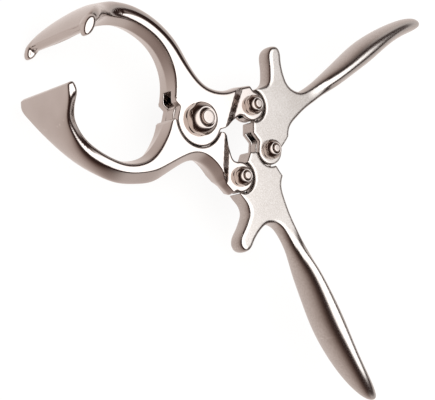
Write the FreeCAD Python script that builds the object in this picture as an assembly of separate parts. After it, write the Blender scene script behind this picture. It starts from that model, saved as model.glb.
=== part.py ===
import FreeCAD, Part
import math, os
from FreeCAD import Vector as V

os.makedirs("parts", exist_ok=True)

# Compound-lever livestock pincers: four nickel-plated steel forgings on four bolts.
# Working frame: millimetres, X along the tool from the jaws to the handles, Z the
# common direction of the four pivots (+Z is the side with the nuts), Z = 0 the middle
# plane of the forgings. Everything is moved to the final origin at the very end.

# ---- driving dimensions (mm) -------------------------------------------------------
P0 = (0.6, 0.0)          # jaw pivot
P1 = (30.6, 17.75)       # upper jaw tail to upper handle; the lower one is its mirror image
P2 = (44.7, 0.0)         # handle pivot
HJ = 7.1                 # half thickness of the jaws at the joint
HL = 4.1                 # half thickness of the jaw tail lugs
HH = 4.55                # half thickness of the handle webs
S0 = 2.95                # half width of the slot in the upper jaw
T0 = 2.90                # half thickness of the lower jaw's tongue
S1 = 2.05                # half width of the slots in the lugs and the upper handle
T1 = 2.00                # half thickness of the handle tongues
R0, RR0 = 12.2, 12.75    # jaw hub radius, radius of the recess it turns in
R1, RR1 = 7.1, 7.9       # lug radius, radius of the recess it turns in
R2, RR2 = 7.1, 8.0       # handle hub radius, radius of the recess it turns in
PIN0, PIN1 = 4.50, 2.75  # shoulder radii: jaw bolt, the three small bolts
THR0, THR1 = 3.30, 2.00  # thread radii
RUN = 0.05               # running clearance, radial
OPEN_PIN = 0.47          # radial clearance of the lower handle's hole at the handle pivot
NUT0 = dict(rc=7.7, h=5.5, top=5.0, cb=4.25)
NUT1 = dict(rc=4.65, h=4.4, top=2.9, cb=2.4)

# front outline of a jaw, drawn as the upper one (Y up)
U_OUT = [(-22.0, 29.3), (-14.97, 23.4), (-9.2, 19.1), (-3.0, 15.7), (2.3, 14.5), (8.0, 15.0), (14.0, 17.2), (20.6, 22.0)]
L_OUT = [(-22.0, 32.2), (-16.83, 29.3), (-12.62, 26.0), (-8.41, 22.4), (-4.15, 18.9), (0.5, 15.9), (5.2, 14.6), (10.42, 15.2), (15.2, 17.5), (20.6, 22.0)]
LUG_CORNER = (27.7, 26.0)
U_INN = [(-14.3, 5.2), (-14.7, 10.4), (-16.2, 16.4), (-18.8, 21.3), (-23.0, 26.0)]
L_INN = [(-13.8, 5.6), (-14.0, 9.6), (-15.2, 15.2), (-17.2, 20.6), (-20.5, 25.6)]

# strap stations from the joint to the lip: inner point, outer point, half width, swell
U_STRAP = [
    ((-17.6, 19.4), (-13.2, 22.0), 7.08, 5.8),
    ((-22.6, 25.7), (-19.2, 27.9), 7.10, 5.5),
    ((-27.9, 29.2), (-26.3, 32.3), 7.10, 5.1),
    ((-35.1, 31.5), (-34.7, 35.1), 7.15, 4.9),
    ((-43.1, 32.2), (-43.9, 35.9), 7.40, 4.6),
    ((-50.0, 31.0), (-51.8, 34.9), 8.00, 4.0),
    ((-56.5, 28.3), (-59.0, 32.3), 10.2, 3.0),
    ((-62.1, 24.6), (-65.6, 28.8), 16.0, 1.8),
    ((-66.0, 21.0), (-70.3, 25.0), 21.4, 1.0),
    ((-68.8, 17.8), (-73.5, 20.7), 25.0, 0.5),
    ((-70.6, 15.2), (-75.2, 16.8), 25.5, 0.3),
    ((-71.6, 12.9), (-75.9, 13.5), 25.6, 0.3),
]
L_STRAP = [
    ((-15.6, 16.4), (-10.6, 20.6), 7.08, 4.6),
    ((-20.0, 25.0), (-16.8, 28.6), 7.10, 4.6),
    ((-26.3, 29.9), (-24.4, 33.2), 7.10, 4.5),
    ((-33.4, 32.1), (-32.8, 35.7), 7.10, 4.3),
    ((-41.0, 32.0), (-41.4, 35.6), 7.15, 4.0),
    ((-47.8, 30.8), (-49.4, 34.1), 7.30, 3.4),
    ((-54.4, 28.6), (-57.0, 31.8), 8.10, 2.6),
    ((-60.2, 25.5), (-63.6, 28.2), 9.80, 1.8),
    ((-64.8, 21.9), (-68.6, 24.2), 12.9, 1.2),
    ((-68.0, 18.2), (-72.0, 19.6), 17.0, 0.8),
    ((-70.2, 14.6), (-74.6, 15.4), 19.7, 0.5),
    ((-71.6, 12.3), (-75.5, 12.6), 20.4, 0.3),
]
LUG_IN, LUG_OUT = 21.3, 25.6     # stop lugs stand outside the lower lip
LIP_TIP_U = (-73.8, 12.0)    # line of the anvil
LIP_TIP_L = (-75.0, 10.6)    # line of the blunt edge

# handle, drawn as the upper one
TAB = [(33.5, 27.4), (36.4, 28.9), (38.5, 30.9), (39.3, 33.4), (39.0, 36.6), (37.9, 41.2), (36.7, 45.0),
       (36.8, 47.9), (38.0, 49.6), (39.8, 50.1), (41.3, 48.9), (42.5, 45.6), (44.3, 41.0), (46.7, 37.0),
       (49.4, 34.3), (52.6, 33.0), (56.0, 32.8), (59.4, 33.7), (62.8, 36.0)]
REAR = [(53.9, 11.6), (54.0, 14.2), (55.0, 17.2), (57.4, 21.1), (62.0, 27.3), (67.5, 33.3), (73.0, 38.8)]
NUB = (54.5, 9.9)
GRIP_BASE, GRIP_DIR = (66.0, 44.0), (0.738, 0.675)
# grip stations: distance along, offset across, half width, half thickness
GRIP = [(-17.0, -6.6, 3.3, 3.9), (-8.0, -6.2, 3.3, 5.4), (2.0, -5.3, 3.5, 7.2), (14.0, -4.2, 4.0, 8.8), (27.0, -2.8, 4.8, 10.1),
        (40.0, -1.3, 5.5, 10.7), (51.0, -0.4, 5.2, 10.5), (62.0, -0.1, 4.65, 9.5), (74.0, -0.8, 4.1, 7.5),
        (81.5, -1.9, 3.5, 5.2), (86.0, -2.9, 2.5, 3.1), (88.2, -3.5, 1.2, 1.4)]


# ---- helpers -----------------------------------------------------------------------
def spl(pts, z=0.0):
    c = Part.BSplineCurve()
    c.interpolate([V(x, y, z) for x, y in pts])
    return c.toShape()


def lin(a, b, z=0.0):
    return Part.LineSegment(V(a[0], a[1], z), V(b[0], b[1], z)).toShape()


def arc(c, r, a0, am, a1, z=0.0):
    def pt(a):
        return V(c[0] + r * math.cos(math.radians(a)), c[1] + r * math.sin(math.radians(a)), z)
    return Part.Arc(pt(a0), pt(am), pt(a1)).toShape()


def on(c, r, a):
    return (c[0] + r * math.cos(math.radians(a)), c[1] + r * math.sin(math.radians(a)))


def ang(c, p):
    return math.degrees(math.atan2(p[1] - c[1], p[0] - c[0]))


def prism(edges, z0, z1):
    w = Part.Wire(Part.sortEdges(edges)[0])
    f = Part.Face(w)
    f.translate(V(0, 0, z0))
    return f.extrude(V(0, 0, z1 - z0))


def poly(pts, z0, z1):
    q = [V(x, y, z0) for x, y in pts]
    return Part.Face(Part.makePolygon(q + [q[0]])).extrude(V(0, 0, z1 - z0))


def cyl(c, r, z0, z1):
    return Part.makeCylinder(r, z1 - z0, V(c[0], c[1], z0))


def mirrored(s):
    return s.mirror(V(0, 0, 0), V(0, 1, 0))


def one(s):
    s = s.removeSplitter()
    if s.ShapeType != "Solid":
        sol = sorted(s.Solids, key=lambda q: -q.Volume)
        print("  pieces", [round(q.Volume, 1) for q in sol])
        s = sol[0]
    return s


# ---- jaws --------------------------------------------------------------------------
def strap(stations):
    # D-shaped sections: flat inside and flat front and back, swollen outside
    ws = []
    for (pi, po, w, b) in stations:
        dx, dy = po[0] - pi[0], po[1] - pi[1]
        n = math.hypot(dx, dy)
        dx, dy = dx / n, dy / n
        bi = 0.35 * b

        def at(base, k, z):
            return V(base[0] + dx * k, base[1] + dy * k, z)
        inner = Part.BSplineCurve()
        inner.interpolate([at(pi, 0, -w), at(pi, -bi * 0.8, -w / 2), at(pi, -bi, 0), at(pi, -bi * 0.8, w / 2), at(pi, 0, w)])
        outer = Part.BSplineCurve()
        outer.interpolate([at(po, 0, w), at(po, b * 0.67, w * 0.72), at(po, b, 0), at(po, b * 0.67, -w * 0.72), at(po, 0, -w)])
        e = [inner.toShape(), Part.LineSegment(at(pi, 0, w), at(po, 0, w)).toShape(), outer.toShape(),
             Part.LineSegment(at(po, 0, -w), at(pi, 0, -w)).toShape()]
        ws.append(Part.Wire(e))
    return Part.makeLoft(ws, True, False)


def swell(contour, b0, b1):
    # lens along the outer wall of the joint plate; contour runs from the ring to the lug
    c = Part.BSplineCurve()
    c.interpolate([V(x, y, 0) for x, y in contour])
    n = 12
    ws = []
    for i in range(n + 1):
        u = c.FirstParameter + (c.LastParameter - c.FirstParameter) * i / n
        p = c.value(u)
        t = c.tangent(u)[0]
        o = V(-t.y, t.x, 0)                     # outward, above the contour
        b = b0 + (b1 - b0) * i / n
        q = p - o * 0.8
        a1, a2, a3 = V(p.x, p.y, HJ), V(p.x + o.x * b, p.y + o.y * b, 0), V(p.x, p.y, -HJ)
        ws.append(Part.Wire([Part.Arc(a1, a2, a3).toShape(),
                             Part.LineSegment(a3, V(q.x, q.y, -HJ)).toShape(),
                             Part.LineSegment(V(q.x, q.y, -HJ), V(q.x, q.y, HJ)).toShape(),
                             Part.LineSegment(V(q.x, q.y, HJ), a1).toShape()]))
    return Part.makeLoft(ws, True, False)


def step_cut(sign):
    # the plate falls by a sloping step to the thinner lug
    t0, t1 = (15.0, -3.0), (18.2, 21.9)
    b0, b1 = (19.2, -3.0), (23.2, 24.0)

    def quad(z, f):
        a = (t0[0] + (b0[0] - t0[0]) * f - 0.0, t0[1] - 8)
        b = (t1[0] + (b1[0] - t1[0]) * f + 2.0, t1[1] + 22)
        q = [V(a[0], a[1], z), V(48, a[1], z), V(48, b[1], z), V(b[0], b[1], z)]
        return Part.makePolygon(q + [q[0]])
    z0, z1 = HL, HJ + 3.0
    f1 = 1 - (z1 - HL) / (HJ - HL)
    s = Part.makeLoft([quad(sign * z0, 1.0), quad(sign * z1, f1)], True, True)
    return s


def jaw_plate(out, inn, upper):
    c1 = LUG_CORNER
    e = [spl(out)]
    e.append(lin(out[-1], c1))
    p_a = on(P1, R1, 96)
    e.append(lin(c1, p_a))
    e.append(arc(P1, R1, 96, 0, -118))
    p_b = on(P1, R1, -118)
    if upper:
        e.append(spl([p_b, (25.2, 11.0), (21.9, 7.9), (17.6, 2.5)]))
        e.append(lin((17.6, 2.5), (15.4, 0.8)))
        h = on(P0, R0, -4)
        e.append(lin((15.4, 0.8), h))
        e.append(arc(P0, R0, -4, -95, -166))
        k = on(P0, R0, -166)
        e.append(lin(k, (-10.9, 2.4)))
        e.append(lin((-10.9, 2.4), (-13.9, 3.9)))
        e.append(lin((-13.9, 3.9), inn[0]))
    else:
        e.append(spl([p_b, (25.4, 11.6), (22.2, 8.2), (19.6, 4.2), (17.6, 1.8)]))
        e.append(lin((17.6, 1.8), (14.9, 1.4)))
        h = on(P0, RR0, 8)
        e.append(lin((14.9, 1.4), h))
        e.append(arc(P0, RR0, 8, 95, 161))
        k = on(P0, RR0, 161)
        e.append(lin(k, (-13.0, 4.0)))
        e.append(lin((-13.0, 4.0), inn[0]))
    e.append(spl(inn))
    e.append(lin(inn[-1], out[0]))
    return prism(e, -HJ, HJ)


def lip_end(stations, tip, w):
    # rounded end of the strap: closes the last section onto the lip line
    (pi, po, ws, b) = stations[-1]
    mid = ((pi[0] + po[0]) / 2, (pi[1] + po[1]) / 2)
    e = [Part.Arc(V(pi[0], pi[1], 0), V(tip[0], tip[1], 0), V(po[0], po[1], 0)).toShape(), lin(po, pi)]
    return prism(e, -w, w)


def make_upper_jaw():
    s = jaw_plate(U_OUT, U_INN, True)
    s = s.fuse(swell(U_OUT + [LUG_CORNER], 5.8, 1.2))
    st = strap(U_STRAP)
    s = s.fuse(st)
    s = s.fuse(lip_end(U_STRAP, LIP_TIP_U, U_STRAP[-1][2]))
    # stop lugs: rounded ears at both ends of the anvil
    ear = [(-69.6, 20.0), (-70.9, 16.6), (-71.4, 12.8), (-71.6, 9.9), (-73.0, 8.1), (-74.8, 8.4), (-75.8, 10.4), (-76.3, 13.4), (-75.6, 17.0), (-73.4, 20.6), (-71.2, 21.8)]
    c = Part.BSplineCurve()
    c.interpolate([V(x, y, 0) for x, y in ear], PeriodicFlag=True)
    f = Part.Face(Part.Wire(c.toShape()))
    for z in (LUG_IN, -LUG_OUT):
        g = f.copy()
        g.translate(V(0, 0, z))
        s = s.fuse(g.extrude(V(0, 0, LUG_OUT - LUG_IN)))
    s = s.cut(step_cut(1)).cut(step_cut(-1))
    # slot for the lower jaw's tongue, open to the inside of the ring
    s = s.cut(cyl(P0, RR0, -S0, S0))
    s = s.cut(poly([(-19.5, -14), (2.0, -14), (2.0, 9.2), (-19.5, 9.2)], -S0, S0))
    s = s.cut(poly([(-12, -14), (19.0, -14), (19.0, 1.2), (12.4, 2.0), (-12, 2.0)], -S0, S0))
    # slot for the handle's tongue
    s = s.cut(cyl(P1, R1 + 0.6, -S1, S1))
    s = s.cut(cyl(P0, PIN0 + 0.02, -20, 20)).cut(cyl(P1, PIN1 + 0.02, -20, 20))
    return one(s)


def make_lower_jaw():
    s = jaw_plate(L_OUT, L_INN, False)
    s = s.fuse(swell(L_OUT + [LUG_CORNER], 4.6, 1.2))
    s = s.fuse(strap(L_STRAP))
    s = s.fuse(lip_end(L_STRAP, LIP_TIP_L, L_STRAP[-1][2]))
    # clear the round recesses in front and behind, leave the tongue between them
    s = s.cut(cyl(P0, RR0, T0, 20)).cut(cyl(P0, RR0, -20, -T0))
    hub = cyl(P0, R0, -T0, T0)
    hub = hub.fuse(poly([on(P0, RR0 + 0.6, 14), on(P0, RR0 + 0.6, 155), on(P0, 6, 155), on(P0, 6, 14)], -T0, T0))
    s = s.fuse(hub)
    s = s.cut(step_cut(1)).cut(step_cut(-1))
    s = s.cut(cyl(P1, R1 + 0.6, -S1, S1))
    s = s.cut(cyl(P0, PIN0 + RUN, -20, 20)).cut(cyl(P1, PIN1 + 0.02, -20, 20))
    return mirrored(one(s))


# ---- handles -----------------------------------------------------------------------
def grip():
    n = math.hypot(*GRIP_DIR)
    dx, dy = GRIP_DIR[0] / n, GRIP_DIR[1] / n
    px, py = -dy, dx
    cs = [(GRIP_BASE[0] + dx * s + px * c, GRIP_BASE[1] + dy * s + py * c) for s, c, w, t in GRIP]
    ws = []
    for i, (s, c, w, t) in enumerate(GRIP):
        a, b = cs[max(i - 1, 0)], cs[min(i + 1, len(cs) - 1)]
        tx, ty = b[0] - a[0], b[1] - a[1]
        m = math.hypot(tx, ty)
        nx, ny = -ty / m, tx / m
        pts = []
        for k in range(16):
            u = 2 * math.pi * k / 16
            pts.append(V(cs[i][0] + nx * w * math.cos(u), cs[i][1] + ny * w * math.cos(u), t * math.sin(u)))
        bc = Part.BSplineCurve()
        bc.interpolate(pts, PeriodicFlag=True)
        ws.append(Part.Wire(bc.toShape()))
    return Part.makeLoft(ws, True, False)


def make_handle(fork):
    n = math.hypot(*GRIP_DIR)
    dx, dy = GRIP_DIR[0] / n, GRIP_DIR[1] / n
    px, py = -dy, dx
    ends = [(GRIP_BASE[0] + dx * s + px * c, GRIP_BASE[1] + dy * s + py * c) for s, c in ((6.0, -2.2), (6.0, -7.9))]
    e = [arc(P1, RR1, -76, 0, 88)]
    a_top, a_bot = on(P1, RR1, 88), on(P1, RR1, -76)
    e.append(spl([a_top] + TAB + [ends[0]]))
    e.append(lin(ends[0], ends[1]))
    e.append(spl([ends[1]] + REAR[::-1]))
    e.append(lin(REAR[0], NUB))
    if fork:
        q = on(P2, R2, 24)
        e.append(spl([NUB, (53.4, 7.2), (52.1, 4.6), q]))
        e.append(arc(P2, R2, 24, -75, -156))
        k = on(P2, R2, -156)
        e.append(lin(k, (37.7, 2.2)))
        e.append(lin((37.7, 2.2), (33.5, 4.9)))
        e.append(lin((33.5, 4.9), a_bot))
    else:
        q = on(P2, RR2, 51)
        e.append(spl([NUB, (52.4, 8.4), q]))
        e.append(arc(P2, RR2, 51, 100, 156))
        k = on(P2, RR2, 156)
        e.append(lin(k, (33.5, 4.7)))
        e.append(lin((33.5, 4.7), a_bot))
    s = prism(e, -HH, HH)
    s = s.fuse(grip())
    # tongue into the jaw's lug
    t = cyl(P1, R1, -T1, T1).fuse(poly([on(P1, 6.5, -52), on(P1, 9.4, -52), on(P1, 9.4, 52), on(P1, 6.5, 52)], -T1, T1))
    s = s.fuse(t)
    if fork:
        s = s.cut(cyl(P2, RR2 + 0.2, -S1, S1))
        s = s.cut(poly([(30.0, -9.0), (44.7, -9.0), (44.7, 5.7), (30.0, 5.7)], -S1, S1))
        s = s.cut(cyl(P2, PIN1 + 0.02, -20, 20))
    else:
        t = cyl(P2, R2, -T1, T1).fuse(poly([on(P2, 6.4, 58), on(P2, 9.4, 62), on(P2, 9.4, 140), on(P2, 6.4, 146)], -T1, T1))
        s = s.fuse(t)
        s = s.cut(cyl(P2, PIN1 + OPEN_PIN, -20, 20))
    s = s.cut(cyl(P1, PIN1 + RUN, -20, 20))
    s = one(s)
    return s if fork else mirrored(s)


# ---- bolts and nuts ----------------------------------------------------------------
def nut(c, z, d, bore):
    rc, h, top, cb = d["rc"], d["h"], d["top"], d["cb"]
    hexa = poly([on(c, rc * 1.06, 90 + 60 * i) for i in range(6)], z, z + h)      # corners turned round
    ri = rc * 1.06 * math.cos(math.pi / 6)
    pr = [V(0, 0, 0), V(ri + 0.15, 0, 0), V(rc + 0.05, 0, 0.5), V(rc + 0.05, 0, h * 0.42), V(rc - 0.35 * (rc - top), 0, h * 0.74), V(top, 0, h), V(0, 0, h)]
    body = Part.Face(Part.makePolygon(pr + [pr[0]])).revolve(V(0, 0, 0), V(0, 0, 1), 360)
    body.translate(V(c[0], c[1], z))
    s = hexa.common(body)
    s = s.cut(cyl(c, bore, z - 1, z + h + 1)).cut(cyl(c, cb, z + h - 0.4, z + h + 1))
    return one(s)


def bolt(c, zb, zf, pin, thr, end, head_r, head_h):
    # round dome head behind, shoulder through the forgings, thread through the nut
    r = head_r
    prof = [V(0, 0, zb - head_h), V(r * 0.45, 0, zb - head_h)]
    a = Part.Arc(V(r * 0.45, 0, zb - head_h), V(r * 0.86, 0, zb - head_h * 0.66), V(r, 0, zb - head_h * 0.12)).toShape()
    e = [Part.LineSegment(prof[0], prof[1]).toShape(), a,
         Part.LineSegment(V(r, 0, zb - head_h * 0.12), V(r, 0, zb)).toShape(),
         Part.LineSegment(V(r, 0, zb), V(pin, 0, zb)).toShape(),
         Part.LineSegment(V(pin, 0, zb), V(pin, 0, zf - 0.6)).toShape(),
         Part.LineSegment(V(pin, 0, zf - 0.6), V(thr, 0, zf - 0.6)).toShape(),
         Part.LineSegment(V(thr, 0, zf - 0.6), V(thr, 0, end - 0.5)).toShape(),
         Part.LineSegment(V(thr, 0, end - 0.5), V(thr - 0.5, 0, end)).toShape(),
         Part.LineSegment(V(thr - 0.5, 0, end), V(0, 0, end)).toShape(),
         Part.LineSegment(V(0, 0, end), prof[0]).toShape()]
    s = Part.Face(Part.Wire(e)).revolve(V(0, 0, 0), V(0, 0, 1), 360)
    s.translate(V(c[0], c[1], 0))
    return one(s)


P3 = (P1[0], -P1[1])
shapes = {}
shapes["upper_jaw"] = make_upper_jaw()
shapes["lower_jaw"] = make_lower_jaw()
shapes["upper_handle"] = make_handle(True)
shapes["lower_handle"] = make_handle(False)
shapes["jaw_bolt"] = bolt(P0, -HJ, HJ, PIN0, THR0, HJ + NUT0["h"] + 1.3, 7.6, 3.6)
shapes["jaw_bolt_nut"] = nut(P0, HJ, NUT0, THR0 + 0.02)
for name, c, h in (("upper_link", P1, HL), ("lower_link", P3, HL), ("handle", P2, HH)):
    shapes[name + "_bolt"] = bolt(c, -h, h, PIN1, THR1, h + NUT1["h"] + 0.8, 4.7, 2.5)
    shapes[name + "_nut"] = nut(c, h, NUT1, THR1 + 0.02)

# ---- final frame: origin under the middle of the whole tool ------------------------
bb = None
for s in shapes.values():
    b = s.optimalBoundingBox(True)
    bb = b if bb is None else bb.united(b)
off = V(-(bb.XMin + bb.XMax) / 2, -(bb.YMin + bb.YMax) / 2, -bb.ZMin)
print("size %.2f %.2f %.2f offset %.4f %.4f %.4f" % (bb.XLength, bb.YLength, bb.ZLength, off.x, off.y, off.z))
for n, s in shapes.items():
    s.translate(off)
    ok = s.isValid() and s.isClosed()
    print("%-16s vol %9.1f valid %s solids %d faces %d" % (n, s.Volume, ok, len(s.Solids), len(s.Faces)))
    s.exportStep("parts/%s.step" % n)
for n, c in (("P0", P0), ("P1", P1), ("P2", P2), ("P3", P3)):
    print(n, "%.4f %.4f" % (c[0] + off.x, c[1] + off.y))
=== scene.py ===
import bpy
import math
import bmesh
import numpy as np
from mathutils import Matrix, Vector


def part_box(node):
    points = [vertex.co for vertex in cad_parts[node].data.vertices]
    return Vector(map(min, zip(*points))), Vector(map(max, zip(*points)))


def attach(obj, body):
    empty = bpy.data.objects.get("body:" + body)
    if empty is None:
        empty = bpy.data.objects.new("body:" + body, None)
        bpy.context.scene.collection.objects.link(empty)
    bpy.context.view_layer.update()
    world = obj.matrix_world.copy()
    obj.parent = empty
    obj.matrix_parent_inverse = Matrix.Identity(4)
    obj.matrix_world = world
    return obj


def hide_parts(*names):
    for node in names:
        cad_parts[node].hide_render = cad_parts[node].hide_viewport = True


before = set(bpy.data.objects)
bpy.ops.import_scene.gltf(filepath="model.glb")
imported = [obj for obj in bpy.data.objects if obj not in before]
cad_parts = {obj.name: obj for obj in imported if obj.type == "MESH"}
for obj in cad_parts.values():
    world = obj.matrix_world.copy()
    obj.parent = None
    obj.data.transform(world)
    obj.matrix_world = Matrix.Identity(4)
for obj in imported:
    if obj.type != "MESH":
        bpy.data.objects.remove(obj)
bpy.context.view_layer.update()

# ------------------------------------------------------------------------------------
# Dimensions in millimetres, working frame: X jaws to handles, Z along the pivots with
# 0 at the middle plane. OFF takes them to the row frame.
P0, P1, P2 = (0.6, 0.0), (30.6, 17.75), (44.7, 0.0)
P3 = (P1[0], -P1[1])
HJ, HL, HH = 7.1, 4.1, 4.55
S0, T0, S1, T1 = 2.95, 2.90, 2.05, 2.00
R0, RR0, R1, RR1, R2, RR2 = 12.2, 12.75, 7.1, 7.9, 7.1, 8.0
PIN0, PIN1, THR0, THR1 = 4.50, 2.75, 3.30, 2.00
NUT0 = dict(rc=7.7, h=5.5, top=5.0, cb=4.25)
NUT1 = dict(rc=4.65, h=4.4, top=2.9, cb=2.4)

lo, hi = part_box("jaw_bolt")
hlo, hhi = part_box("lower_handle")
OFF = np.array([(lo.x + hi.x) * 500 - P0[0], (lo.y + hi.y) * 500 - P0[1], (hlo.z + hhi.z) * 500])

H = 0.36          # grid pitch of the forgings

U_OUT = [(-14.97, 23.4), (-9.2, 19.1), (-3.0, 15.7), (2.3, 14.5), (8.0, 15.0), (14.0, 17.2), (20.6, 22.0)]
L_OUT = [(-16.83, 29.3), (-12.62, 26.0), (-8.41, 22.4), (-4.15, 18.9), (0.5, 15.9), (5.2, 14.6), (10.42, 15.2), (15.2, 17.5), (20.6, 22.0)]
CORNER = (27.7, 26.0)
U_INN = [(-14.3, 5.2), (-14.7, 10.4), (-16.2, 16.4), (-18.8, 21.3), (-23.0, 26.0)]
L_INN = [(-13.8, 5.6), (-14.0, 9.6), (-15.2, 15.2), (-17.2, 20.6), (-20.5, 25.6)]
# strap stations: inner point, outer point, half width at the outer and inner edge, swell
U_STRAP = [
    ((-22.6, 25.7), (-19.7, 27.2), 7.10, 7.10, 6.3),
    ((-27.9, 29.2), (-26.8, 31.2), 7.10, 7.10, 6.4),
    ((-35.1, 31.5), (-34.9, 33.8), 7.10, 7.10, 6.3),
    ((-43.1, 32.2), (-43.5, 34.0), 7.20, 7.10, 6.6),
    ((-50.0, 31.0), (-50.7, 32.4), 7.60, 7.30, 6.6),
    ((-56.5, 28.3), (-57.5, 29.7), 10.0, 9.20, 5.6),
    ((-62.1, 24.6), (-63.6, 26.4), 15.6, 14.8, 4.8),
    ((-66.0, 21.0), (-68.4, 23.2), 21.2, 20.6, 3.6),
    ((-68.8, 17.8), (-72.0, 19.8), 24.2, 23.9, 2.3),
    ((-70.6, 15.2), (-74.3, 16.5), 24.8, 24.8, 1.3),
    ((-71.6, 12.9), (-75.5, 13.4), 24.8, 24.8, 0.7),
]
L_STRAP = [
    ((-20.0, 25.0), (-16.8, 28.6), 7.10, 7.10, 4.4),
    ((-26.3, 29.9), (-24.4, 33.2), 7.10, 7.10, 4.1),
    ((-33.4, 32.1), (-32.8, 35.5), 7.10, 7.10, 3.9),
    ((-41.0, 32.0), (-41.4, 35.2), 7.15, 7.10, 3.9),
    ((-47.8, 30.8), (-49.3, 33.6), 7.35, 7.15, 3.7),
    ((-54.4, 28.6), (-56.7, 31.2), 8.20, 7.60, 3.1),
    ((-60.2, 25.5), (-63.4, 27.7), 10.4, 9.00, 2.2),
    ((-64.8, 21.9), (-68.5, 23.9), 13.2, 11.6, 1.5),
    ((-68.0, 18.2), (-72.0, 19.5), 17.6, 16.4, 0.9),
    ((-70.2, 14.6), (-74.6, 15.4), 20.4, 20.4, 0.5),
    ((-71.6, 12.3), (-75.5, 12.6), 20.4, 20.4, 0.3),
]
TIP_U, TIP_L = (-73.8, 12.0), (-73.6, 10.7)
TAB = [(33.5, 27.4), (36.4, 28.9), (38.5, 30.9), (39.3, 33.4), (39.0, 36.6), (37.9, 41.2), (36.7, 45.0),
       (36.8, 47.9), (38.0, 49.6), (39.8, 50.1), (41.3, 48.9), (42.5, 45.6), (44.3, 41.0), (46.7, 37.0),
       (49.4, 34.3), (52.6, 33.0), (56.0, 32.8), (59.4, 33.7), (62.8, 36.0)]
REAR = [(53.9, 11.6), (54.0, 14.2), (55.0, 17.2), (57.4, 21.1), (62.0, 27.3), (67.5, 33.3), (73.0, 38.8)]
NUB = (54.5, 9.9)
GB, GD = np.array([66.0, 44.0]), np.array([0.738, 0.675]) / math.hypot(0.738, 0.675)
GN = np.array([-GD[1], GD[0]])
GRIP = [(-17.0, -6.2, 2.6, 1.6), (-8.0, -5.9, 2.9, 3.1), (2.0, -5.35, 3.6, 5.6), (14.0, -4.5, 4.35, 8.7), (27.0, -3.1, 5.1, 10.1),
        (40.0, -1.5, 5.65, 10.7), (51.0, -0.45, 5.25, 10.5), (62.0, -0.1, 4.65, 9.5), (74.0, -0.8, 4.1, 7.5),
        (81.5, -1.9, 3.5, 5.2), (86.0, -2.9, 2.5, 3.1), (88.2, -3.5, 1.2, 1.4), (88.7, -3.6, 0.05, 0.05)]


# ------------------------------------------------------------------------------------
# curves
def natural(t, y):
    # second derivatives of a natural cubic spline, then its evaluator
    t, y = np.asarray(t, float), np.asarray(y, float)
    n = len(t)
    a, r = np.zeros((n, n)), np.zeros((n,) + y.shape[1:])
    a[0, 0] = a[-1, -1] = 1
    h = np.diff(t)
    for i in range(1, n - 1):
        a[i, i - 1], a[i, i], a[i, i + 1] = h[i - 1], 2 * (h[i - 1] + h[i]), h[i]
        r[i] = 6 * ((y[i + 1] - y[i]) / h[i] - (y[i] - y[i - 1]) / h[i - 1])
    m = np.linalg.solve(a, r)

    def f(x):
        x = np.asarray(x, float)
        i = np.clip(np.searchsorted(t, x) - 1, 0, n - 2)
        d, u = t[i + 1] - t[i], x - t[i]
        v = d - u
        if y.ndim > 1:
            d, u, v = d[..., None], u[..., None], v[..., None]
        return (m[i] * v ** 3 + m[i + 1] * u ** 3) / (6 * d) + (y[i] / d - m[i] * d / 6) * v + (y[i + 1] / d - m[i + 1] * d / 6) * u
    return f


def curve(pts, attr=None, step=0.35):
    p = np.array(pts, float)
    t = np.concatenate([[0], np.cumsum(np.linalg.norm(np.diff(p, axis=0), axis=1))])
    f = natural(t, p)
    x = np.linspace(0, t[-1], max(2, int(t[-1] / step) + 1))
    a = np.zeros((len(x), 2)) if attr is None else np.clip(natural(t, np.array(attr, float))(x), 0, np.max(attr, axis=0))
    return np.hstack([f(x), a])


def line(a, b, aa=(0, 0), ab=(0, 0)):
    return np.array([[*a, *aa], [*b, *ab]], float)


def on(c, r, deg):
    return (c[0] + r * math.cos(math.radians(deg)), c[1] + r * math.sin(math.radians(deg)))


def arc(c, r, d0, d1):
    n = max(3, int(abs(d1 - d0) / 2.5))
    return np.array([[*on(c, r, d), 0, 0] for d in np.linspace(d0, d1, n)])


def soft(c):
    # marks a stretch of contour whose rim is rounded a little more
    c = c.copy()
    c[:, 3] = 0.06
    return c


def polygon(pts, step=0.35):
    out = []
    for a, b in zip(pts, list(pts[1:]) + [pts[0]]):
        out.append(line(a, b))
    return np.vstack(out)


# ------------------------------------------------------------------------------------
# distance fields on a grid
def outline(X, Y, c):
    # signed distance to a closed contour and the attributes of its nearest point
    c = c[np.r_[True, np.linalg.norm(np.diff(c[:, :2], axis=0), axis=1) > 1e-6]]
    a, b = c, np.roll(c, -1, 0)
    keep = np.linalg.norm(b[:, :2] - a[:, :2], axis=1) > 1e-6
    a, b = a[keep], b[keep]
    q = np.stack([X.ravel(), Y.ravel()], 1)
    d = np.empty(len(q))
    at = np.empty((len(q), 2))
    inside = np.zeros(len(q), bool)
    e = b[:, :2] - a[:, :2]
    l2 = (e ** 2).sum(1)
    for s in range(0, len(q), 4096):
        k = q[s:s + 4096]
        w = k[:, None, :] - a[None, :, :2]
        u = np.clip((w * e[None]).sum(2) / l2, 0, 1)
        r = ((w - u[..., None] * e[None]) ** 2).sum(2)
        i = r.argmin(1)
        j = np.arange(len(k))
        d[s:s + 4096] = np.sqrt(r[j, i])
        ui = u[j, i][:, None]
        at[s:s + 4096] = a[i, 2:] * (1 - ui) + b[i, 2:] * ui
        y0, y1 = a[None, :, 1], b[None, :, 1]
        cr = (y0 > k[:, 1:2]) != (y1 > k[:, 1:2])
        with np.errstate(divide="ignore", invalid="ignore"):
            xi = a[None, :, 0] + (k[:, 1:2] - y0) / (y1 - y0) * e[None, :, 0]
        inside[s:s + 4096] = (cr & (k[:, 0:1] < xi)).sum(1) % 2 == 1
    d[inside] *= -1
    return d.reshape(X.shape), at[:, 0].reshape(X.shape), at[:, 1].reshape(X.shape)


def disc(X, Y, c, r):
    return np.hypot(X - c[0], Y - c[1]) - r


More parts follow.
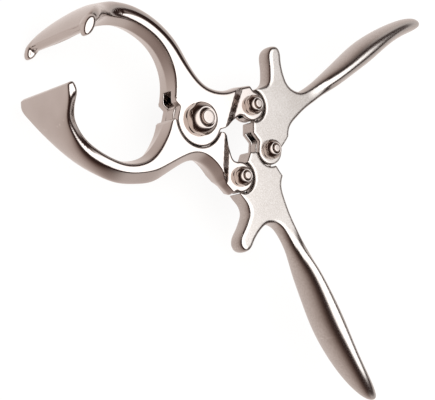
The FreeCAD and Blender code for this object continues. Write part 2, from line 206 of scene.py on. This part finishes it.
def smax(a, b, k):
    h = np.maximum(k - np.abs(a - b), 0)
    return np.maximum(a, b) + h * h / (4 * k)


def smin(a, b, k):
    h = np.maximum(k - np.abs(a - b), 0)
    return np.minimum(a, b) - h * h / (4 * k)


def grid(x0, x1, y0, y1, zm):
    xs = np.arange(x0, x1 + H, H)
    ys = np.arange(y0, y1 + H, H)
    n = int(math.ceil(zm / H)) + 1
    zs = (np.arange(-n, n) + 0.5) * H
    X, Y = np.meshgrid(xs, ys, indexing="ij")
    return xs, ys, zs, X, Y


def nets(F, xs, ys, zs):
    # surface nets: one vertex in each crossed cell, one quad across each crossed edge
    F = np.where(np.abs(F) < 1e-5, 1e-5, F).astype(np.float32)
    neg = F < 0
    n = np.zeros(tuple(s - 1 for s in F.shape), np.uint8)
    cs = [(i, j, k) for i in (0, 1) for j in (0, 1) for k in (0, 1)]

    def corner(A, c):
        return A[tuple(slice(c[d], A.shape[d] - 1 + c[d]) for d in range(3))]
    for c in cs:
        n += corner(neg, c)
    act = (n > 0) & (n < 8)
    ids = np.full(n.shape, -1, np.int32)
    cell = np.argwhere(act)
    ids[act] = np.arange(len(cell))
    val = {c: corner(F, c)[act] for c in cs}
    acc, cnt = np.zeros((len(cell), 3)), np.zeros(len(cell))
    for c in cs:
        for d in range(3):
            if c[d] == 0:
                e = list(c)
                e[d] = 1
                fa, fb = val[c], val[tuple(e)]
                x = (fa < 0) != (fb < 0)
                t = np.where(x, fa / np.where(x, fa - fb, 1), 0)
                p = np.tile(np.array(c, float), (len(cell), 1))
                p[:, d] += t
                acc += p * x[:, None]
                cnt += x
    v = (cell + acc / cnt[:, None]) * H + np.array([xs[0], ys[0], zs[0]])
    quads = []
    for d, (a, b) in enumerate(((1, 2), (2, 0), (0, 1))):
        lo_, hi_ = [slice(None)] * 3, [slice(None)] * 3
        lo_[d], hi_[d] = slice(0, -1), slice(1, None)
        n0, n1 = neg[tuple(lo_)], neg[tuple(hi_)]
        e = np.argwhere(n0 != n1)
        e = e[(e[:, a] > 0) & (e[:, b] > 0) & (e[:, a] < F.shape[a] - 1) & (e[:, b] < F.shape[b] - 1)]
        out = n0[tuple(e.T)]
        q = []
        for da, db in ((-1, -1), (0, -1), (0, 0), (-1, 0)):
            k = e.copy()
            k[:, a] += da
            k[:, b] += db
            q.append(ids[tuple(k.T)])
        q = np.stack(q, 1)
        q[~out] = q[~out][:, ::-1]
        quads.append(q)
    return v, np.vstack(quads)


def mesh(name, v, q, mirror=False):
    v = v.copy()
    if mirror:
        v[:, 1] *= -1
        q = q[:, ::-1]
    co = ((v + OFF) / 1000).astype(np.float32)
    me = bpy.data.meshes.new(name)
    me.vertices.add(len(co))
    me.vertices.foreach_set("co", co.ravel())
    me.loops.add(q.size)
    me.loops.foreach_set("vertex_index", q.ravel().astype(np.int32))
    me.polygons.add(len(q))
    me.polygons.foreach_set("loop_start", np.arange(0, q.size, q.shape[1], dtype=np.int32))
    me.update(calc_edges=True)
    if q.shape[0] > 30000:
        # drop the slivers the mesher leaves where the surface runs through grid points
        bm = bmesh.new()
        bm.from_mesh(me)
        bmesh.ops.remove_doubles(bm, verts=bm.verts, dist=6.0e-5)
        bm.to_mesh(me)
        bm.free()
    me.validate()
    me.polygons.foreach_set("use_smooth", np.ones(len(me.polygons), bool))
    ob = bpy.data.objects.new(name, me)
    bpy.context.scene.collection.objects.link(ob)
    return ob


# ------------------------------------------------------------------------------------
# jaws
def profile(t, p):
    # outward swell of the side wall over the thickness, 0 at the faces, 1 in the middle
    u = np.clip(1 - t * t, 0, 1)
    return ((u + 0.006) ** p - 0.006 ** p) / (1.006 ** p - 0.006 ** p)


def ridge(t):
    # inner wall: two drafted flats that meet on the parting line, rounded towards the faces
    u = np.clip(1 - np.abs(t), 0, 1)
    return 0.85 * u + 0.15 * (1 - (1 - u) ** 6)


def jaw_contour(upper):
    out, inn, strap, tip = (U_OUT, U_INN, U_STRAP, TIP_U) if upper else (L_OUT, L_INN, L_STRAP, TIP_L)
    pts = [s[1] for s in strap[:0:-1]] + ([strap[0][1]] if upper else []) + out
    at = [(s[4], 0) for s in strap[:0:-1]] + ([(strap[0][4], 0)] if upper else [])
    n = len(out)
    b0 = 5.9 if upper else 4.6
    at += [(b0 + (1.5 - b0) * i / (n - 1), 0) for i in range(n)]
    parts = [curve(pts, at), line(out[-1], CORNER, (1.5, 0), (1.0, 0)), line(CORNER, on(P1, R1, 96)), soft(arc(P1, R1, 96, -118))]
    pb = on(P1, R1, -118)
    if upper:
        parts += [curve([pb, (25.2, 11.0), (21.9, 7.9), (17.6, 2.5)]), line((17.6, 2.5), (15.4, 0.8)), line((15.4, 0.8), on(P0, R0, -4)),
                  soft(arc(P0, R0, -4, -166)), line(on(P0, R0, -166), (-10.9, 2.4)), line((-10.9, 2.4), (-13.9, 3.9)), line((-13.9, 3.9), inn[0])]
    else:
        parts += [curve([pb, (25.4, 11.6), (22.2, 8.2), (19.6, 4.2), (17.6, 1.8)]), line((17.6, 1.8), (14.9, 1.4)), line((14.9, 1.4), on(P0, RR0, 8)),
                  soft(arc(P0, RR0, 8, 161)), line(on(P0, RR0, 161), (-13.0, 4.0)), line((-13.0, 4.0), inn[0])]
    ip = inn + [s[0] for s in strap[1:]]
    ia = [(0, 0.2), (0, 0.9), (0, 1.6), (0, 2.1), (0, 2.4)] + [(0, 2.5 if s[4] > 3.6 else 0.7 * s[4]) for s in strap[1:]]
    parts.append(curve(ip, ia))
    # rounded lip
    a, m, b = np.array(strap[-1][0]), np.array(tip), np.array(strap[-1][1])
    u = np.linspace(0, 1, 14)[:, None]
    k = 2 * m - (a + b) / 2
    bez = (1 - u) ** 2 * a + 2 * u * (1 - u) * k + u ** 2 * b
    parts.append(np.hstack([bez, np.zeros((14, 2))]))
    return np.vstack(parts)


def thickness(X, Y, strap):
    # half thickness of the jaw over the plane
    inner = np.array([s[0] for s in strap], float)
    outer = np.array([s[1] for s in strap], float)
    mid = (inner + outer) / 2
    t = np.concatenate([[0], np.cumsum(np.linalg.norm(np.diff(mid, axis=0), axis=1))])
    fm = natural(t, mid)
    fw = natural(t, np.array([[s[2], s[3]] for s in strap], float))
    fo = natural(t, outer - inner)
    ts = np.linspace(0, t[-1], 260)
    m, w, o = fm(ts), fw(ts), fo(ts)
    dm, dw, do = np.gradient(m, axis=0), np.gradient(w, axis=0), np.gradient(o, axis=0)
    q = np.stack([X.ravel(), Y.ravel()], 1)
    res = np.empty(len(q))
    for s in range(0, len(q), 8192):
        k = q[s:s + 8192]
        # stations are cut lines: take the one whose line passes closest
        r = ((k[:, None] - m[None]) ** 2).sum(2)
        i = r.argmin(1)
        u = np.clip(((k - m[i]) * dm[i]).sum(1) / (dm[i] ** 2).sum(1), -0.6, 0.6)[:, None]
        oo = o[i] + u * do[i]
        c = ((k - m[i] - u * dm[i]) * oo).sum(1) / (oo ** 2).sum(1) + 0.5
        c = np.clip(c, 0, 1.15)
        wi = w[i] + u * dw[i]
        ww = wi[:, 1] * (1 - c) + wi[:, 0] * c
        res[s:s + 8192] = ww
    W = res.reshape(X.shape)
    # iron out the joins between stations
    for _ in range(int(round(14 * (0.36 / H) ** 2))):
        P = np.pad(W, 1, mode="edge")
        W = (P[:-2, 1:-1] + P[2:, 1:-1] + P[1:-1, :-2] + P[1:-1, 2:] + 2 * W) / 6
    W = np.where(X < -14.0, W, HJ)
    xt = 15.0 + (Y + 3.0) * (3.2 / 24.9)
    xb = 19.2 + (Y + 3.0) * (4.0 / 27.0)
    u = np.clip((X - xt) / (xb - xt), 0, 1)
    W = np.where(X > 5, HJ - (HJ - HL) * u, W)
    return W


def jaw_field(upper, xs, ys, zs, X, Y):
    strap = U_STRAP if upper else L_STRAP
    d, b, bi = outline(X, Y, jaw_contour(upper))
    W = thickness(X, Y, strap)
    gx, gy = np.gradient(W, H)
    cw = 1 / np.sqrt(1 + np.minimum(gx ** 2 + gy ** 2, 2.0))
    Z = zs[None, None, :]
    t = Z / W[..., None]
    # the lower ring has a crisper outer edge than the flank of its blade
    m = 0 * X if upper else 1 / (1 + np.exp(-(X + 42.0) / 5.0))
    m = m[..., None]
    roof = 1 - np.sqrt(t * t + 0.02) / math.sqrt(1.02)
    roof = roof / (1 - math.sqrt(0.02 / 1.02))
    q = (0.5 - 0.2 / (1 + np.exp(-(W - 14.0) / 1.6)) * upper)[..., None]
    side = d[..., None] - b[..., None] * (profile(t, q) * (1 - m) + roof * m) - bi[..., None] * ridge(t)
    flat = (np.abs(Z) - W[..., None]) * cw[..., None]
    k = np.where(bi > 0.1, 1.4, np.where(bi > 0.03, 0.8, 0.5))
    if not upper:
        m = 1 / (1 + np.exp(-(W - 8.4) / 0.5))
        k = k * (1 - m) + np.where(bi > 0.03, 0.7, 1.3) * m
    m = 1 / (1 + np.exp(-(W - 15.0) / 1.0))
    k = (k * (1 - m) + (2.6 if upper else 1.5) * m)[..., None]
    F = smax(side, flat, k)
    return F, Z


def slab(d2, half, Z, k=0.25):
    return smax(d2[..., None], np.abs(Z) - half, k)


def poly2(X, Y, pts):
    return outline(X, Y, polygon(pts))[0]


def upper_jaw():
    xs, ys, zs, X, Y = grid(-78.5, 39.5, -14.0, 42.5, 26.3)
    F, Z = jaw_field(True, xs, ys, zs, X, Y)
    u = np.linspace(0, 2 * math.pi, 48, endpoint=False)
    ear = np.stack([-73.5 + 2.35 * np.cos(u) + 0.7 * np.sin(u), 13.1 + 4.6 * np.sin(u), 0 * u, 0 * u], 1)
    e = outline(X, Y, ear)[0]
    for s in (1, -1):
        F = smin(F, smax(e[..., None], np.abs(s * Z - 23.45) - 2.15, 1.3), 1.2)
    slot = np.minimum(disc(X, Y, P0, RR0), poly2(X, Y, [(-19.5, -14), (2.0, -14), (2.0, 9.2), (-19.5, 9.2)]))
    slot = np.minimum(slot, poly2(X, Y, [(-12, -14), (19.0, -14), (19.0, 1.2), (12.4, 2.0), (-12, 2.0)]))
    F = smax(F, -slab(slot, S0, Z), 0.3)
    F = smax(F, -slab(disc(X, Y, P1, R1 + 0.6), S1, Z), 0.3)
    for c, r in ((P0, PIN0), (P1, PIN1)):
        F = smax(F, -(disc(X, Y, c, r + 0.03)[..., None] + 0 * Z), 0.2)
    return nets(F, xs, ys, zs)


def lower_jaw():
    xs, ys, zs, X, Y = grid(-78.5, 39.5, -14.0, 42.5, 21.0)
    F, Z = jaw_field(False, xs, ys, zs, X, Y)
    hub = np.minimum(disc(X, Y, P0, R0), poly2(X, Y, [on(P0, RR0 + 0.6, 14), on(P0, RR0 + 0.6, 155), on(P0, 6, 155), on(P0, 6, 14)]))
    F = np.minimum(F, slab(hub, T0, Z, 0.5))
    F = smax(F, -slab(disc(X, Y, P1, R1 + 0.6), S1, Z), 0.3)
    for c, r in ((P0, PIN0 + 0.05), (P1, PIN1)):
        F = smax(F, -(disc(X, Y, c, r + 0.03)[..., None] + 0 * Z), 0.2)
    return nets(F, xs, ys, zs)


# ------------------------------------------------------------------------------------
# handles
def handle(fork):
    xs, ys, zs, X, Y = grid(28.0, 136.5, -9.0, 106.0, 11.3)
    e0 = GB + GD * 12.0 + GN * -3.4
    e1 = GB + GD * 46.0 + GN * -3.4
    tail = [tuple(GB + GD * a + GN * c) for a, c in ((50.0, -4.6), (46.0, -5.0), (40.0, -5.6), (30.0, -6.8), (20.0, -7.7), (12.0, -8.2))]
    sw = [0.0, 0.2, 0.8] + [1.35] * (len(TAB) - 2) + [0.3]
    rw = [0.3] + [1.0] * (len(REAR) - 1) + [0.4]
    parts = [arc(P1, RR1, -76, 88), curve([on(P1, RR1, 88)] + TAB + [tuple(e0)], [(k, 0) for k in sw]), line(e0, e1), line(e1, tail[0]),
             curve(tail + REAR[::-1], [(0.1, 0)] + [(0.2, 0)] * (len(tail) - 2) + [(0.55, 0)] + [(k, 0) for k in rw[1:]][::-1] + [(rw[0], 0)]), line(REAR[0], NUB, (0.4, 0), (0.1, 0))]
    if fork:
        parts += [curve([NUB, (53.4, 7.2), (52.1, 4.6), on(P2, R2, 24)]), arc(P2, R2, 24, -156), line(on(P2, R2, -156), (37.7, 2.2)),
                  line((37.7, 2.2), (33.5, 4.9)), line((33.5, 4.9), on(P1, RR1, -76))]
    else:
        parts += [curve([NUB, (52.4, 8.4), on(P2, RR2, 51)]), arc(P2, RR2, 51, 156), line(on(P2, RR2, 156), (33.5, 4.7)), line((33.5, 4.7), on(P1, RR1, -76))]
    d, b, _ = outline(X, Y, np.vstack(parts))
    Z = zs[None, None, :]
    # the web thins out inside the grip
    S = (X - GB[0]) * GD[0] + (Y - GB[1]) * GD[1]
    u = np.clip((S - 6.0) / 46.0, 0, 1)
    hw = (HH - (HH - 1.4) * u * u * (3 - 2 * u))[..., None]
    web = smax(d[..., None] - b[..., None] * profile(Z / hw, 0.5), np.abs(Z) - hw, 1.0)
    # grip: elliptical sections along a slightly bowed line
    s = [g[0] for g in GRIP]
    S = (X - GB[0]) * GD[0] + (Y - GB[1]) * GD[1]
    C = (X - GB[0]) * GN[0] + (Y - GB[1]) * GN[1]
    fc = natural(s, [g[1] for g in GRIP])
    Sc = np.clip(S, s[0], s[-1])
    c = fc(Sc)
    slope = (fc(np.clip(Sc + 0.5, s[0], s[-1])) - fc(np.clip(Sc - 0.5, s[0], s[-1])))
    w = np.sqrt(np.maximum(natural(s, [g[2] ** 2 for g in GRIP])(Sc), 0.003))
    t = np.sqrt(np.maximum(natural(s, [g[3] ** 2 for g in GRIP])(Sc), 0.003))
    n = ((C - c) / np.sqrt(1 + slope ** 2))[..., None]
    w, t = w[..., None], t[..., None]
    k0 = np.sqrt((n / w) ** 2 + (Z / t) ** 2) + 1e-6
    k1 = np.sqrt((n / w ** 2) ** 2 + (Z / t ** 2) ** 2) + 1e-6
    grip = k0 * (k0 - 1) / k1
    over = np.maximum(S - s[-1], s[0] - S)[..., None]
    grip = smax(np.maximum(grip, -6), over, 0.4)
    F = smin(web, grip, 1.8)
    tongue = np.minimum(disc(X, Y, P1, R1), poly2(X, Y, [on(P1, 6.5, -52), on(P1, 9.4, -52), on(P1, 9.4, 52), on(P1, 6.5, 52)]))
    F = np.minimum(F, slab(tongue, T1, Z, 0.4))
    if fork:
        slot = np.minimum(disc(X, Y, P2, RR2 + 0.2), poly2(X, Y, [(30.0, -9.0), (44.7, -9.0), (44.7, 5.7), (30.0, 5.7)]))
        F = smax(F, -slab(slot, S1, Z), 0.3)
        F = smax(F, -(disc(X, Y, P2, PIN1 + 0.03)[..., None] + 0 * Z), 0.2)
    else:
        tongue = np.minimum(disc(X, Y, P2, R2), poly2(X, Y, [on(P2, 6.4, 58), on(P2, 9.4, 62), on(P2, 9.4, 140), on(P2, 6.4, 146)]))
        F = np.minimum(F, slab(tongue, T1, Z, 0.4))
        F = smax(F, -(disc(X, Y, P2, PIN1 + 0.47)[..., None] + 0 * Z), 0.2)
    F = smax(F, -(disc(X, Y, P1, PIN1 + 0.05)[..., None] + 0 * Z), 0.2)
    return nets(F, xs, ys, zs)


# ------------------------------------------------------------------------------------
# nuts and bolts: rings of points round an axis
def rings(name, c, levels, radius, n=144, caps=False):
    # levels: list of (r, z) or (callable) down one closed profile; radius(phi, r, z) shapes it
    ph = np.linspace(0, 2 * math.pi, n, endpoint=False)
    vs = []
    for (r, z) in levels:
        rr = radius(ph, r, z)
        vs.append(np.stack([c[0] + rr * np.cos(ph), c[1] + rr * np.sin(ph), np.full(n, z)], 1))
    v = np.vstack(vs)
    m = len(levels)
    i, j = np.meshgrid(np.arange(m), np.arange(n), indexing="ij")
    a = i * n + j
    b = i * n + (j + 1) % n
    d = ((i + 1) % m) * n + j
    e = ((i + 1) % m) * n + (j + 1) % n
    q = np.stack([a.ravel(), b.ravel(), e.ravel(), d.ravel()], 1)
    if caps:
        # open profile closed by a flat disc of quads at each end
        k = np.arange(n // 2 - 1)
        cap = np.stack([k, k + 1, n - 2 - k, n - 1 - k], 1)
        q = np.vstack([q[:(m - 1) * n], cap[:, ::-1], cap + (m - 1) * n])
    return v, q


def nut(name, c, z0, d, bore):
    rc, h, top, cb = d["rc"], d["h"], d["top"], d["cb"]
    ri = rc * 1.095 * math.cos(math.pi / 6)     # corners turned round to rc

    def hexr(ph):
        u = (ph - math.pi / 6 + math.pi / 6) % (math.pi / 3) - math.pi / 6
        r = ri / np.cos(u)
        return r - 0.035 * rc * np.exp(-((np.abs(u) - math.pi / 6) / 0.045) ** 2) * 0.6

    def prof(z):
        z = z - z0
        if z < 0.5:
            return ri + 0.15 + (rc - ri - 0.1) * z / 0.5
        if z < 0.34 * h:
            return rc + 0.05
        u = (z - 0.34 * h) / (0.66 * h)
        return top + (rc + 0.05 - top) * (1 - u ** 1.7) ** 0.85

    def rad(ph, r, z):
        if r is None:
            a, b = hexr(ph), prof(z)
            k = 0.20
            q = np.maximum(k - np.abs(a - b), 0)
            return np.minimum(a, b) - q * q / (4 * k)
        return np.full_like(ph, r)
    lv = [(bore, z0), (bore + 0.5, z0), (ri - 0.2, z0)]
    zs = np.concatenate([np.linspace(0.02, 0.55, 6), np.linspace(0.7, 0.34 * h, 4), h * (0.34 + 0.66 * np.sin(np.linspace(0.05, math.pi / 2, 26)))])
    zs = np.unique(np.clip(zs, 0.02, h - 0.02))
    lv += [(None, z0 + z) for z in zs]
    lv += [(top - 0.10, z0 + h), (cb + 0.2, z0 + h), (cb + 0.06, z0 + h - 0.05), (cb - 0.06, z0 + h - 0.18), (bore + 0.35, z0 + h - 0.42), (bore + 0.1, z0 + h - 0.5), (bore, z0 + h - 0.75)]
    v, q = rings(name, c, lv, rad)
    return v, q


def bolt(name, c, zb, zf, pin, thr, end, hr, hh, cham):
    pitch = thr / 3.0
    top_of_nut = end - (1.3 if thr > 3 else 0.8)
    lv = []
    for u in np.linspace(0.06, 1, 20):
        a = u * math.pi / 2
        lv.append((hr * math.sin(a) ** 0.92, zb - 0.35 - (hh - 0.35) * math.cos(a) ** 0.9))
    lv += [(hr, zb - 0.25), (hr - 0.12, zb - 0.05), (hr - 0.3, zb), (pin + 0.05, zb), (pin, zb + 0.1), (pin, zf - 0.65), (pin - 0.08, zf - 0.6), (thr, zf - 0.6)]
    z = zf - 0.5
    while z < end - cham - 0.2 - max(0.0, end - top_of_nut) * 0.9:
        lv.append((-thr, z))
        z += pitch / 6
    lv += [(thr - 0.02, end - cham - 0.15), (thr - 0.06, end - cham)]
    for u in np.linspace(0.15, 1, 7):
        lv.append((thr - 0.06 - cham * 1.1 * (1 - math.cos(u * math.pi / 2)), end - cham * (1 - math.sin(u * math.pi / 2))))
    lv += [(thr * 0.55, end), (0.5, end)]

    def rad(ph, r, z):
        if r < 0:
            u = (z / pitch - ph / (2 * math.pi)) % 1.0
            return -r - 0.42 * pitch * (1 - np.abs(2 * u - 1)) * 0.9
        return np.full_like(ph, r)
    return rings(name, c, lv, rad, 96, True)


# ------------------------------------------------------------------------------------
# materials
def nickel(name, base, front, wall, grain, streak, bump, brushed=1.0, speck=0.0, painted_wall_shade=(1.0, 1.0, 1.0)):
    # nickel plate: polished where the surface faces front or back, satin on the walls
    m = bpy.data.materials.new(name)
    m.use_nodes = True
    nt = m.node_tree
    nt.nodes.clear()
    N, L = nt.nodes.new, nt.links.new
    out = N("ShaderNodeOutputMaterial")
    bs = N("ShaderNodeBsdfPrincipled")
    L(bs.outputs[0], out.inputs[0])
    bs.inputs["Metallic"].default_value = 1.0
    tc = N("ShaderNodeTexCoord")
    geo = N("ShaderNodeNewGeometry")
    sep = N("ShaderNodeSeparateXYZ")
    L(geo.outputs["Normal"], sep.inputs[0])

    def math_(op, a, b=None, clamp=False):
        n = N("ShaderNodeMath")
        n.operation = op
        n.use_clamp = clamp
        for i, x in enumerate((a, b)):
            if x is None:
                continue
            if isinstance(x, (int, float)):
                n.inputs[i].default_value = x
            else:
                L(x, n.inputs[i])
        return n.outputs[0]

    def ramp(x, x0, x1, y0, y1):
        n = N("ShaderNodeMapRange")
        n.interpolation_type = "SMOOTHSTEP"
        for i, q in enumerate((x0, x1, y0, y1)):
            n.inputs[i + 1].default_value = q
        L(x, n.inputs[0])
        return n.outputs[0]

    def noise(scale, detail=3.0, rough=0.55, stretch=None):
        n = N("ShaderNodeTexNoise")
        n.inputs["Scale"].default_value = scale
        n.inputs["Detail"].default_value = detail
        n.inputs["Roughness"].default_value = rough
        if stretch:
            mp = N("ShaderNodeMapping")
            mp.inputs["Scale"].default_value = stretch
            L(tc.outputs["Object"], mp.inputs[0])
            L(mp.outputs[0], n.inputs["Vector"])
        else:
            L(tc.outputs["Object"], n.inputs["Vector"])
        return n.outputs["Fac"]
    mask = ramp(math_("ABSOLUTE", sep.outputs[2]), 0.93, 0.995, 0.0, 1.0)
    cloud = noise(55.0, 2.0)
    fine = noise(grain, 4.0, 0.65)
    brush = noise(streak, 3.0, 0.6, (0.06, 1.0, 1.0))
    # colour: warm nickel, slightly mottled, bright on worn edges
    mix = N("ShaderNodeMix")
    mix.data_type = "RGBA"
    mix.inputs["A"].default_value = (base[0] * 0.90, base[1] * 0.89, base[2] * 0.88, 1)
    mix.inputs["B"].default_value = (min(1, base[0] * 1.08), min(1, base[1] * 1.09), min(1, base[2] * 1.10), 1)
    spots = math_("MULTIPLY", math_("SUBTRACT", noise(1300.0, 3.0, 0.75), 0.5), speck)
    L(math_("ADD", math_("ADD", math_("MULTIPLY", cloud, 1.2), -0.1), spots, True), mix.inputs["Factor"])
    edge = N("ShaderNodeMix")
    edge.data_type = "RGBA"
    L(mix.outputs["Result"], edge.inputs["A"])
    edge.inputs["B"].default_value = (min(1, base[0] * 1.22), min(1, base[1] * 1.24), min(1, base[2] * 1.26), 1)
    L(ramp(geo.outputs["Pointiness"], 0.54, 0.62, 0.0, 0.45), edge.inputs["Factor"])
    # painted shade: the side walls, by how far their normal turns from up, are multiplied darker and warmer than the
    # faces
    side = N("ShaderNodeMix")
    side.data_type = "RGBA"
    side.blend_type = "MULTIPLY"
    L(edge.outputs["Result"], side.inputs["A"])
    side.inputs["B"].default_value = (*painted_wall_shade, 1)
    L(ramp(math_("ABSOLUTE", sep.outputs[2]), 0.55, 0.95, 1.0, 0.0), side.inputs["Factor"])
    L(side.outputs["Result"], bs.inputs["Base Color"])
    # roughness: finish by facing, broken up by grain and streaks
    r0 = N("ShaderNodeMix")
    r0.data_type = "FLOAT"
    L(mask, r0.inputs["Factor"])
    r0.inputs["A"].default_value = wall
    r0.inputs["B"].default_value = front
    wob = math_("MULTIPLY", math_("SUBTRACT", math_("ADD", fine, math_("MULTIPLY", brush, brushed)), 0.5 + 0.5 * brushed), 0.10)
    L(math_("ADD", r0.outputs["Result"], wob, True), bs.inputs["Roughness"])
    bp = N("ShaderNodeBump")
    bp.inputs["Strength"].default_value = 1.0
    bp.inputs["Distance"].default_value = bump
    L(math_("ADD", fine, math_("MULTIPLY", brush, 0.6 * brushed)), bp.inputs["Height"])
    L(bp.outputs[0], bs.inputs["Normal"])
    return m


# the last colour in each call is the painted wall shade, a darker and warmer multiplier on sideways-facing walls
mat_jaw = nickel("nickel_jaws", (0.50, 0.460, 0.440), 0.08, 0.15, 2600.0, 900.0, 1.2e-6, 0.5, painted_wall_shade=(0.98, 0.96, 0.95))
mat_handle = nickel("nickel_handles", (0.505, 0.480, 0.462), 0.26, 0.22, 1900.0, 700.0, 3.4e-6, 0.0, 3.6, (0.93, 0.895, 0.88))
mat_bolt = nickel("nickel_fasteners", (0.405, 0.366, 0.347), 0.11, 0.14, 3200.0, 1200.0, 1.0e-6, 0.3, painted_wall_shade=(1.0, 0.92, 0.865))

# ------------------------------------------------------------------------------------
# pieces
JOBS = [
    ("upper_jaw_forging", "upper_jaw", "upper_jaw", upper_jaw(), False, mat_jaw, "jaw_plate"),
    ("lower_jaw_forging", "lower_jaw", "lower_jaw", lower_jaw(), True, mat_jaw, "jaw_plate"),
    ("upper_handle_forging", "upper_handle", "upper_handle", handle(True), False, mat_handle, "handle_plate"),
    ("lower_handle_forging", "lower_handle", "lower_handle", handle(False), True, mat_handle, "handle_plate"),
    ("jaw_shoulder_bolt", "jaw_bolt", "upper_jaw", bolt("b", P0, -HJ, HJ, PIN0, THR0, HJ + NUT0["h"] + 1.3, 7.6, 3.6, 0.45), False, mat_bolt, "fastener_plate"),
    ("jaw_hex_nut", "jaw_bolt_nut", "upper_jaw", nut("n", P0, HJ, NUT0, THR0 + 0.02), False, mat_bolt, "fastener_plate"),
]
for nm, c, hz, body in (("upper_link", P1, HL, "upper_jaw"), ("lower_link", P3, HL, "lower_jaw"), ("handle", P2, HH, "upper_handle")):
    JOBS.append((nm + "_shoulder_bolt", nm + "_bolt", body, bolt("b", c, -hz, hz, PIN1, THR1, hz + NUT1["h"] + 0.8, 4.7, 2.5, 0.3 if nm == "upper_link" else 0.55), False, mat_bolt, "fastener_plate"))
    JOBS.append((nm + "_hex_nut", nm + "_nut", body, nut("n", c, hz, NUT1, THR1 + 0.02), False, mat_bolt, "fastener_plate"))

for name, node, body, (v, q), mir, mat, slot in JOBS:
    ob = mesh(name, v, q, mir)
    ob.data.materials.append(mat)
    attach(ob, body)
    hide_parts(node)

# ------------------------------------------------------------------------------------
# studio: pale floor, soft white surround with dark bands that show in the metal's reflections
def plain(name, col, rough=0.9, emit=None):
    m = bpy.data.materials.new(name)
    m.use_nodes = True
    b = m.node_tree.nodes["Principled BSDF"]
    b.inputs["Base Color"].default_value = (*col, 1)
    b.inputs["Roughness"].default_value = rough
    b.inputs["Specular IOR Level"].default_value = 0.0
    return m


me = bpy.data.meshes.new("floor")
s = 3.0
me.from_pydata([(-s, -s, -0.0002), (s, -s, -0.0002), (s, s, -0.0002), (-s, s, -0.0002)], [], [(0, 1, 2, 3)])
floor = bpy.data.objects.new("floor", me)
bpy.context.scene.collection.objects.link(floor)
fl = plain("floor_white", (0.10, 0.10, 0.10))
fb = fl.node_tree.nodes["Principled BSDF"]
fb.inputs["Emission Color"].default_value = (1.0, 0.995, 0.99, 1)
fb.inputs["Emission Strength"].default_value = 0.90
me.materials.append(fl)

# surround: bright overhead, dark walls round the table, the table itself below; the
# bright part starts a little higher towards the upper right
floor.visible_glossy = False
w = bpy.data.worlds.new("studio")
bpy.context.scene.world = w
w.use_nodes = True
nt = w.node_tree
bg = nt.nodes["Background"]
tc = nt.nodes.new("ShaderNodeTexCoord")
dp = nt.nodes.new("ShaderNodeVectorMath")
dp.operation = "DOT_PRODUCT"
nt.links.new(tc.outputs["Generated"], dp.inputs[0])
dp.inputs[1].default_value = (-0.047, -0.081, 1.0)
mr = nt.nodes.new("ShaderNodeMapRange")
for i, x in enumerate((-1.0, 1.0, 0.0, 1.0)):
    mr.inputs[i + 1].default_value = x
nt.links.new(dp.outputs["Value"], mr.inputs[0])
TOP = [(0.46, (0.04, 0.02, 0.016)), (0.55, (0.09, 0.055, 0.048)), (0.62, (0.32, 0.26, 0.24)), (0.67, (0.90, 0.86, 0.84)), (0.72, (2.60, 2.58, 2.56))]
# the side the light is carried from is open and dark, the far side has a pale backdrop
NEAR = [(-0.95, (1.00, 0.91, 0.87)), (-0.74, (0.97, 0.87, 0.825)), (-0.50, (0.78, 0.675, 0.63)), (-0.28, (0.50, 0.405, 0.37)), (-0.10, (0.25, 0.175, 0.15)),
        (0.04, (0.11, 0.068, 0.056)), (0.18, (0.05, 0.026, 0.02))] + TOP
FAR = [(-0.95, (1.00, 0.91, 0.87)), (-0.50, (0.93, 0.84, 0.80)), (-0.20, (0.82, 0.74, 0.705)), (0.00, (0.80, 0.75, 0.72)), (0.08, (0.78, 0.73, 0.71)),
       (0.17, (0.36, 0.30, 0.28)), (0.24, (0.05, 0.028, 0.025))] + TOP
ramps = []
for stops in (NEAR, FAR):
    cr = nt.nodes.new("ShaderNodeValToRGB")
    nt.links.new(mr.outputs[0], cr.inputs[0])
    el = cr.color_ramp.elements
    for e, (pos_, col) in zip((el[0], el[1]), (stops[0], stops[-1])):
        e.position, e.color = (pos_ + 1) / 2, (*col, 1)
    for pos_, col in stops[1:-1]:
        el.new((pos_ + 1) / 2).color = (*col, 1)
    ramps.append(cr)
hd = nt.nodes.new("ShaderNodeVectorMath")
hd.operation = "DOT_PRODUCT"
nt.links.new(tc.outputs["Generated"], hd.inputs[0])
hd.inputs[1].default_value = (0.94, 0.34, 0.0)
hs = nt.nodes.new("ShaderNodeMapRange")
hs.interpolation_type = "SMOOTHSTEP"
hs.inputs[1].default_value, hs.inputs[2].default_value = 0.0, 0.45
nt.links.new(hd.outputs["Value"], hs.inputs[0])
mx = nt.nodes.new("ShaderNodeMix")
mx.data_type = "RGBA"
nt.links.new(hs.outputs[0], mx.inputs["Factor"])
nt.links.new(ramps[0].outputs[0], mx.inputs["A"])
nt.links.new(ramps[1].outputs[0], mx.inputs["B"])
nt.links.new(mx.outputs["Result"], bg.inputs[0])
bg.inputs[1].default_value = 1.0
bpy.context.scene.view_settings.view_transform = "Standard"
bpy.context.scene.view_settings.look = "None"

# ------------------------------------------------------------------------------------
# camera
pos = (np.array([-312.163, -192.739, 466.798]) + OFF) / 1000
right = Vector((0.77934, 0.14786, 0.60891))
up = Vector((-0.28072, 0.95117, 0.12833))
back = Vector((-0.56020, -0.27094, 0.78279))
cam = bpy.data.objects.new("camera", bpy.data.cameras.new("camera"))
bpy.context.scene.collection.objects.link(cam)
m = Matrix((right, up, back)).transposed().to_4x4()
m.translation = Vector(pos)
cam.matrix_world = m
cam.data.sensor_fit = "HORIZONTAL"
cam.data.sensor_width = 36.0
cam.data.lens = 107.586
cam.data.clip_start, cam.data.clip_end = 0.01, 20.0
bpy.context.scene.camera = cam
